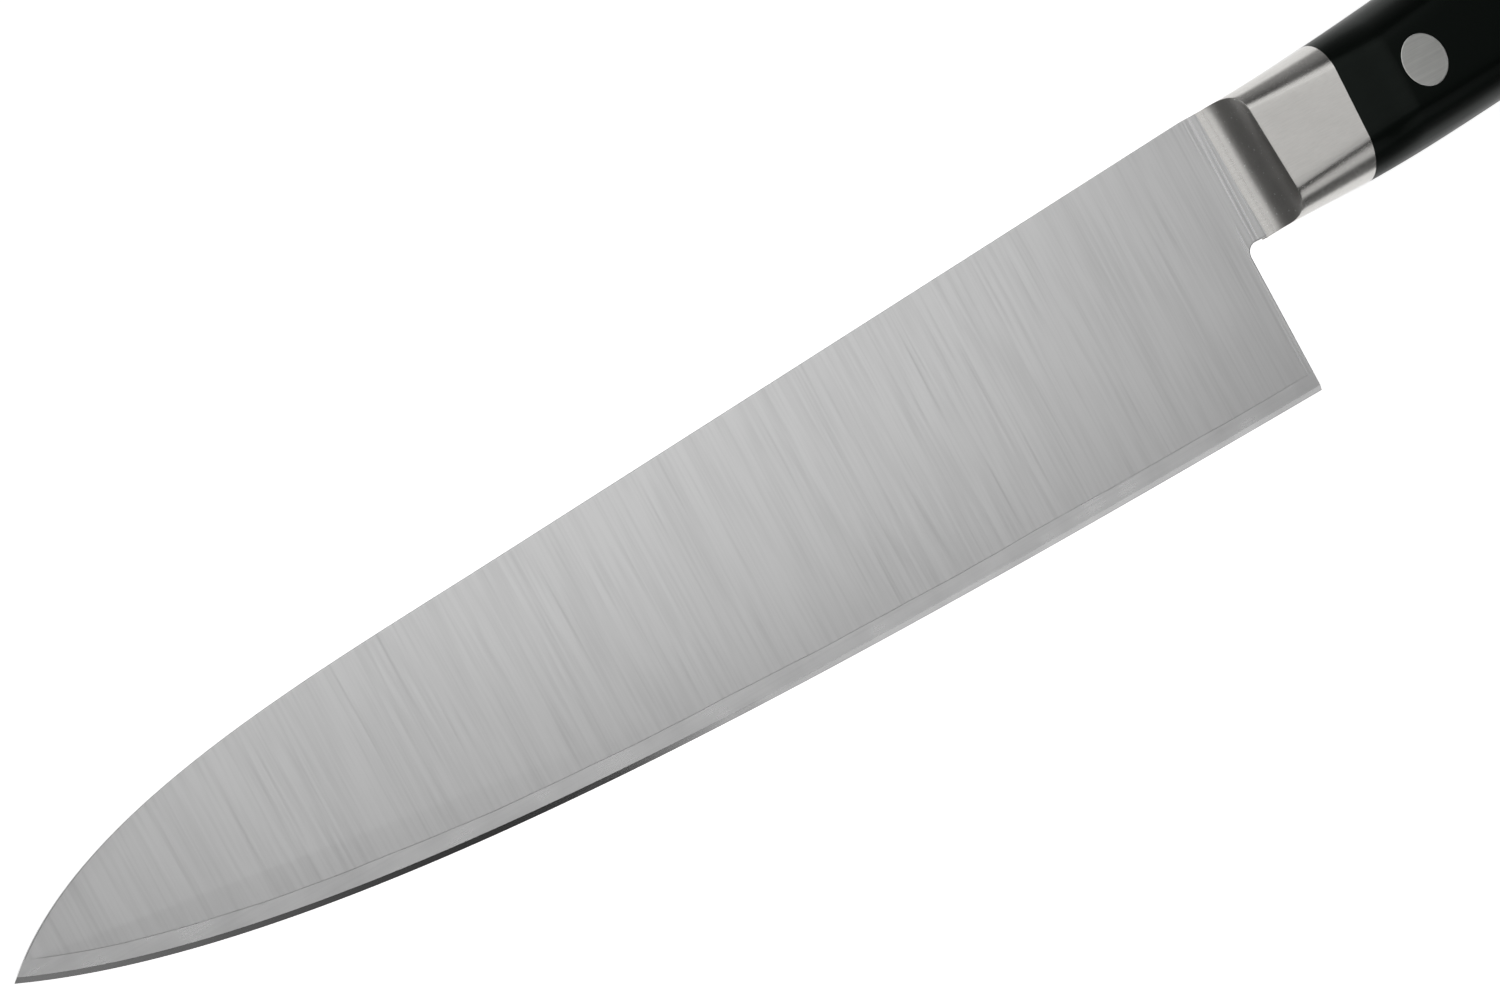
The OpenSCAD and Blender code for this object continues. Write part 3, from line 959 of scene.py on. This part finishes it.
def rivet(index):
    """Both halves of one cutlery rivet: a headed tube, and a headed shank driven into it."""
    name, spot = RIVET_NAMES[index], rivet_spots[index]
    tube = head_profile(1) + [(RIVET_TUBE_R, HEAD_UNDERSIDE), (RIVET_TUBE_R, TUBE_END),
                              (RIVET_SHANK_R, TUBE_END), (RIVET_SHANK_R, HEAD_UNDERSIDE),
                              (0, HEAD_UNDERSIDE)]
    shank_r = RIVET_SHANK_R - HEAD_GAP
    shank = head_profile(-1) + [(shank_r, -HEAD_UNDERSIDE), (shank_r, SHANK_END - SHANK_CHAMFER),
                                (shank_r - SHANK_CHAMFER, SHANK_END), (0, SHANK_END)]
    female = lathe(spot, tube)
    male = lathe(spot, shank)
    male.faces = [tuple(reversed(f)) for f in male.faces]
    female_piece = build(name + "_rivet_female_fine", female.points, female.faces, RIVET, uv=uv_across)
    male_piece = build(name + "_rivet_male_fine", male.points, male.faces, RIVET, uv=uv_across)
    return female_piece, male_piece


# ---------------------------------------------------------------- binding to the frame
bindings = [
    (blade_core, "blade_core", "core_steel"),
    (cladding_left, "cladding_left", "cladding_steel"),
    (cladding_right, "cladding_right", "cladding_steel"),
    (bolster_left, "bolster_left", "bolster_steel"),
    (bolster_right, "bolster_right", "bolster_steel"),
    (scale_left, "scale_left", "handle_scale"),
    (scale_right, "scale_right", "handle_scale"),
]
for rivet_index, rivet_name in enumerate(RIVET_NAMES):
    halves = rivet(rivet_index)
    bindings.append((halves[0], rivet_name + "_rivet_female", "rivet_steel"))
    bindings.append((halves[1], rivet_name + "_rivet_male", "rivet_steel"))
for piece, node, slot in bindings:
    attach(piece, "root")
    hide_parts(node)
finishes = {"core_steel": CORE, "cladding_steel": CLADDING, "bolster_steel": BOLSTER,
            "rivet_steel": RIVET, "handle_scale": SCALE}
for piece, node, slot in bindings:
    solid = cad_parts[node]
    solid.data.materials.clear()
    solid.data.materials.append(finishes[slot])


# ---------------------------------------------------------------- floor, light and camera
def stage_floor():
    """A pale, even floor, large enough to fill every view."""
    s = Shader("studio_floor")
    s.set(Roughness=0.9, Specular_IOR_Level=0.1, Emission_Strength=0.9)
    tone = s.noise((260, 260, 260), detail=3, seed=1)
    shade = s.blend(tone, (0.80, 0.80, 0.80), (0.84, 0.84, 0.84))
    s.link(shade, s.base.inputs["Base Color"])
    s.base.inputs["Emission Color"].default_value = (1, 1, 1, 1)
    grain = s.noise((2, 2, 2), detail=2, seed=8)
    s.bump(grain, 0.05, 0.3)
    half = 4.0               # metres
    mesh = bpy.data.meshes.new("floor")
    corners = [(-half, -half, 0), (half, -half, 0), (half, half, 0), (-half, half, 0)]
    mesh.from_pydata(corners, [], [(0, 1, 2, 3)])
    mesh.materials.append(s.material)
    floor = bpy.data.objects.new("floor", mesh)
    bpy.context.scene.collection.objects.link(floor)


LIT_POINT = place((-44.4, 37, 1.75))     # on the blade, between the heel and the spine


def softbox(name, direction, distance, size, radiance):
    """A large rectangular light that looks at the knife."""
    light = bpy.data.lights.new(name, "AREA")
    light.shape = "RECTANGLE"
    light.size, light.size_y = size
    light.energy = radiance * math.pi * size[0] * size[1]
    lamp = bpy.data.objects.new(name, light)
    towards = Vector(direction).normalized()
    x_axis = Vector((1, 0, 0))
    x_axis = (x_axis - towards * x_axis.dot(towards)).normalized()
    y_axis = towards.cross(x_axis)
    turn = Matrix((x_axis, y_axis, towards)).transposed().to_4x4()
    lamp.matrix_world = Matrix.Translation(LIT_POINT + towards * distance) @ turn
    bpy.context.scene.collection.objects.link(lamp)
    return lamp


def studio_world():
    """A dim room, with paler walls on the spine's side and behind the handle."""
    world = bpy.data.worlds.new("studio")
    bpy.context.scene.world = world
    world.use_nodes = True
    tree = world.node_tree
    tree.nodes.clear()
    out = tree.nodes.new("ShaderNodeOutputWorld")
    back = tree.nodes.new("ShaderNodeBackground")
    where = tree.nodes.new("ShaderNodeTexCoord")
    split = tree.nodes.new("ShaderNodeSeparateXYZ")
    tree.links.new(where.outputs["Generated"], split.inputs[0])

    def rise(axis, start, end, low, high):
        node = tree.nodes.new("ShaderNodeMapRange")
        node.interpolation_type = "SMOOTHSTEP"
        ends = {"From Min": start, "From Max": end, "To Min": low, "To Max": high}
        for key, number in ends.items():
            node.inputs[key].default_value = number
        tree.links.new(split.outputs[axis], node.inputs["Value"])
        return node.outputs[0]

    add = tree.nodes.new("ShaderNodeMath")
    tree.links.new(rise("Y", 0.45, 0.95, 0.0, 0.34), add.inputs[0])
    tree.links.new(rise("X", -0.6, 0.5, 0.10, 0.0), add.inputs[1])
    both = tree.nodes.new("ShaderNodeMath")
    tree.links.new(add.outputs[0], both.inputs[0])
    tree.links.new(rise("Y", -0.9, -0.62, 0.2, 0.0), both.inputs[1])
    tree.links.new(both.outputs[0], back.inputs["Strength"])
    back.inputs["Color"].default_value = (1, 1, 1, 1)
    tree.links.new(back.outputs[0], out.inputs[0])


def photo_camera():
    """A camera that looks at the blade's right side from the tip's end, rolled with the knife."""
    lean = math.radians(24.6743)         # from straight down, towards the butt
    sideways = math.radians(0.4)         # of the view towards the edge
    roll = math.radians(-28.7569)
    distance = 0.487762                  # metres
    target = place((-90.562, 26.775, 0))
    down = Vector((math.tan(lean), -math.tan(sideways), -1)).normalized()
    across = Vector((0, 1, 0))
    across = (across - down * across.dot(down)).normalized()
    right = down.cross(across)
    r = math.cos(roll) * right + math.sin(roll) * across
    u = -math.sin(roll) * right + math.cos(roll) * across
    data = bpy.data.cameras.new("photo_camera")
    data.lens = 85
    data.sensor_width = 36
    data.clip_start = 0.01
    camera = bpy.data.objects.new("photo_camera", data)
    camera.matrix_world = (Matrix.Translation(target - down * distance)
                           @ Matrix((r, u, -down)).transposed().to_4x4())
    bpy.context.scene.collection.objects.link(camera)
    bpy.context.scene.camera = camera


stage_floor()
studio_world()
softbox("key_softbox", (0.335, 0.165, 0.93), 1.3, (0.90, 0.80), 1.15)
softbox("edge_side_fill", (0.50, -0.53, 0.69), 1.3, (0.6, 0.46), 0.8)
photo_camera()
bpy.context.scene.view_settings.view_transform = "Standard"
